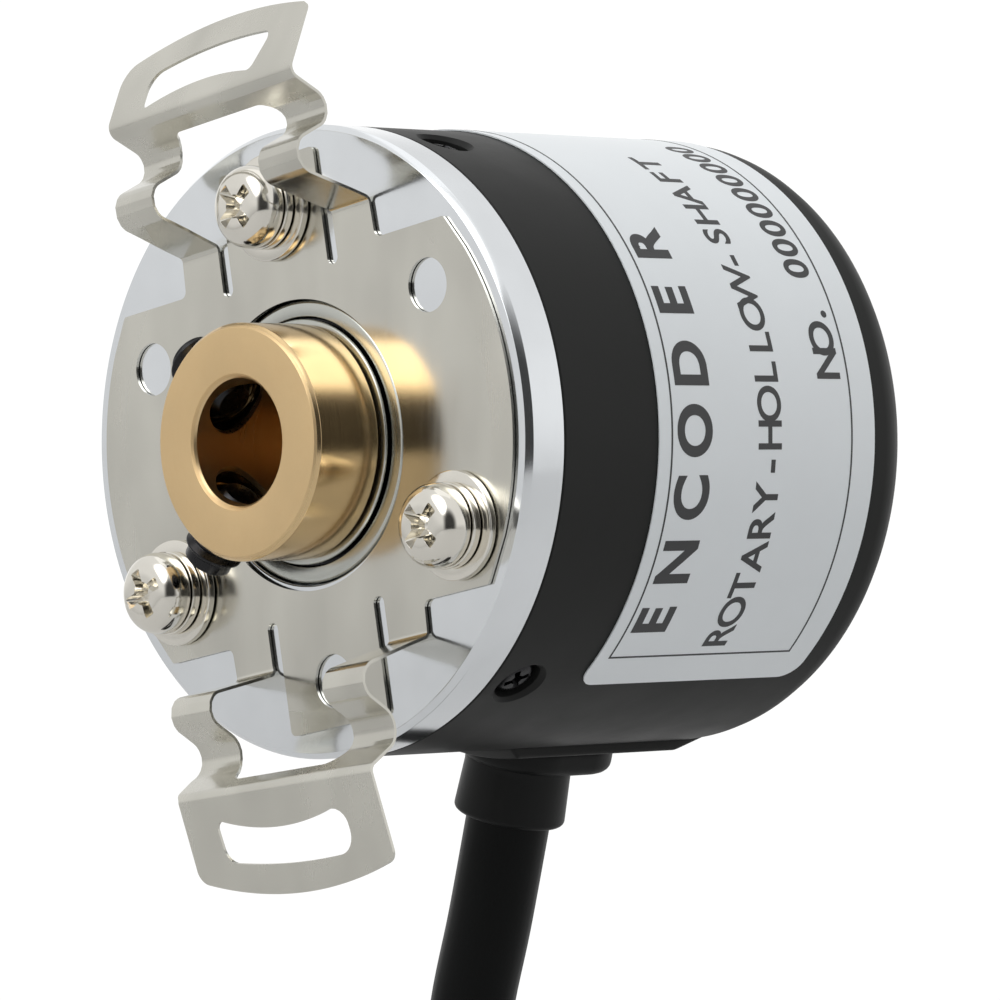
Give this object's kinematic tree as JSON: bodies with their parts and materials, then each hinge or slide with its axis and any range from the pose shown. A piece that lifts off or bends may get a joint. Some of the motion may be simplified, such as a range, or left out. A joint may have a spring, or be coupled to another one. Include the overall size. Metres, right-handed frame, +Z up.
{
  "type": "rotary encoder",
  "caption": "Round hollow-shaft rotary encoder: aluminium flange, brass hub with set screws, bent spring bracket with slotted ears, black cover and side cable.",
  "frame": {"origin": "on the shaft's axis in the plane of the flange's front face", "axes": "+Y along the shaft's axis from the hub into the cover, +Z up, +X to the right seen from the shaft side"},
  "size_m": [0.0748, 0.0423, 0.1656],
  "materials": {
    "aluminium": "bright turned, fine lathe marks",
    "black_cover": "satin black",
    "label": "satin silver film",
    "brass": "bright turned",
    "black_steel": "black oxide",
    "spring_steel": "bright rolled spring sheet",
    "nickel": "nickel plated",
    "bearing_steel": "ground",
    "rubber": "matt moulded",
    "cable_jacket": "satin extruded",
    "disc_film": "polished film",
    "board": "green solder resist",
    "chip": "matt moulded",
    "white_plastic": "matt moulded",
    "black_plastic": "matt moulded",
    "lens": "clear moulded"
  },
  "bodies": {
    "housing": {"flange": "aluminium", "rear_cover": "black_cover", "label": "label", "flange_o_ring": "rubber", "rear_seal": "rubber", "spring_plate": "spring_steel", "emitter_holder": "black_plastic", "light_emitter": "lens", "reticle_mask": "disc_film", "photodetector": "chip", "circuit_board": "board", "signal_chip": "chip", "line_driver_chip": "chip", "board_connector": "white_plastic", "cable_plug": "white_plastic", "filter_capacitor": "aluminium", "cable_gland": "rubber", "cable_clamp": "bearing_steel", "cable_lead": "cable_jacket", "cable_coil": "cable_jacket", "plate_screw_1": "nickel", "flat_washer_1": "nickel", "split_washer_1": "nickel", "cover_screw_1": "black_steel", "stand_off_1": "brass", "board_screw_1": "nickel", "plate_screw_2": "nickel", "flat_washer_2": "nickel", "split_washer_2": "nickel", "cover_screw_2": "black_steel", "stand_off_2": "brass", "board_screw_2": "nickel", "plate_screw_3": "nickel", "flat_washer_3": "nickel", "split_washer_3": "nickel", "cover_screw_3": "black_steel", "stand_off_3": "brass", "board_screw_3": "nickel", "front_bearing_outer": "bearing_steel", "front_bearing_shield": "bearing_steel", "rear_bearing_outer": "bearing_steel", "rear_bearing_shield": "bearing_steel"},
    "shaft": {"hollow_shaft": "brass", "thrust_ring": "bearing_steel", "bearing_spacer": "aluminium", "retaining_ring": "black_steel", "front_bearing_inner": "bearing_steel", "rear_bearing_inner": "bearing_steel", "disc_hub": "aluminium", "code_disc": "disc_film", "disc_clamp_ring": "aluminium"},
    "front_cage": {"front_bearing_cage": "brass"},
    "rear_cage": {"rear_bearing_cage": "brass"},
    "set_screw_a": {"set_screw_a": "black_steel"},
    "set_screw_b": {"set_screw_b": "black_steel"}
  },
  "joints": [
    {"name": "shaft_spin", "type": "hinge", "parent": "housing", "child": "shaft", "pos_m": [0, 0, 0], "axis": [0, 1, 0], "continuous": true},
    {"name": "front_cage_spin", "type": "hinge", "parent": "housing", "child": "front_cage", "pos_m": [0, 0.002, 0], "axis": [0, 1, 0], "continuous": true},
    {"name": "rear_cage_spin", "type": "hinge", "parent": "housing", "child": "rear_cage", "pos_m": [0, 0.012, 0], "axis": [0, 1, 0], "continuous": true},
    {"name": "set_screw_a_travel", "type": "slide", "parent": "shaft", "child": "set_screw_a", "axis": [-0.7986, 0, 0.6018], "range_m": [-0.0002, 0.002]},
    {"name": "set_screw_b_travel", "type": "slide", "parent": "shaft", "child": "set_screw_b", "axis": [-0.6157, 0, -0.788], "range_m": [-0.0002, 0.002]}
  ],
  "couplings": [
    {"joint": "front_cage_spin", "follows": "shaft_spin", "ratio": 0.449},
    {"joint": "rear_cage_spin", "follows": "shaft_spin", "ratio": 0.449}
  ]
}
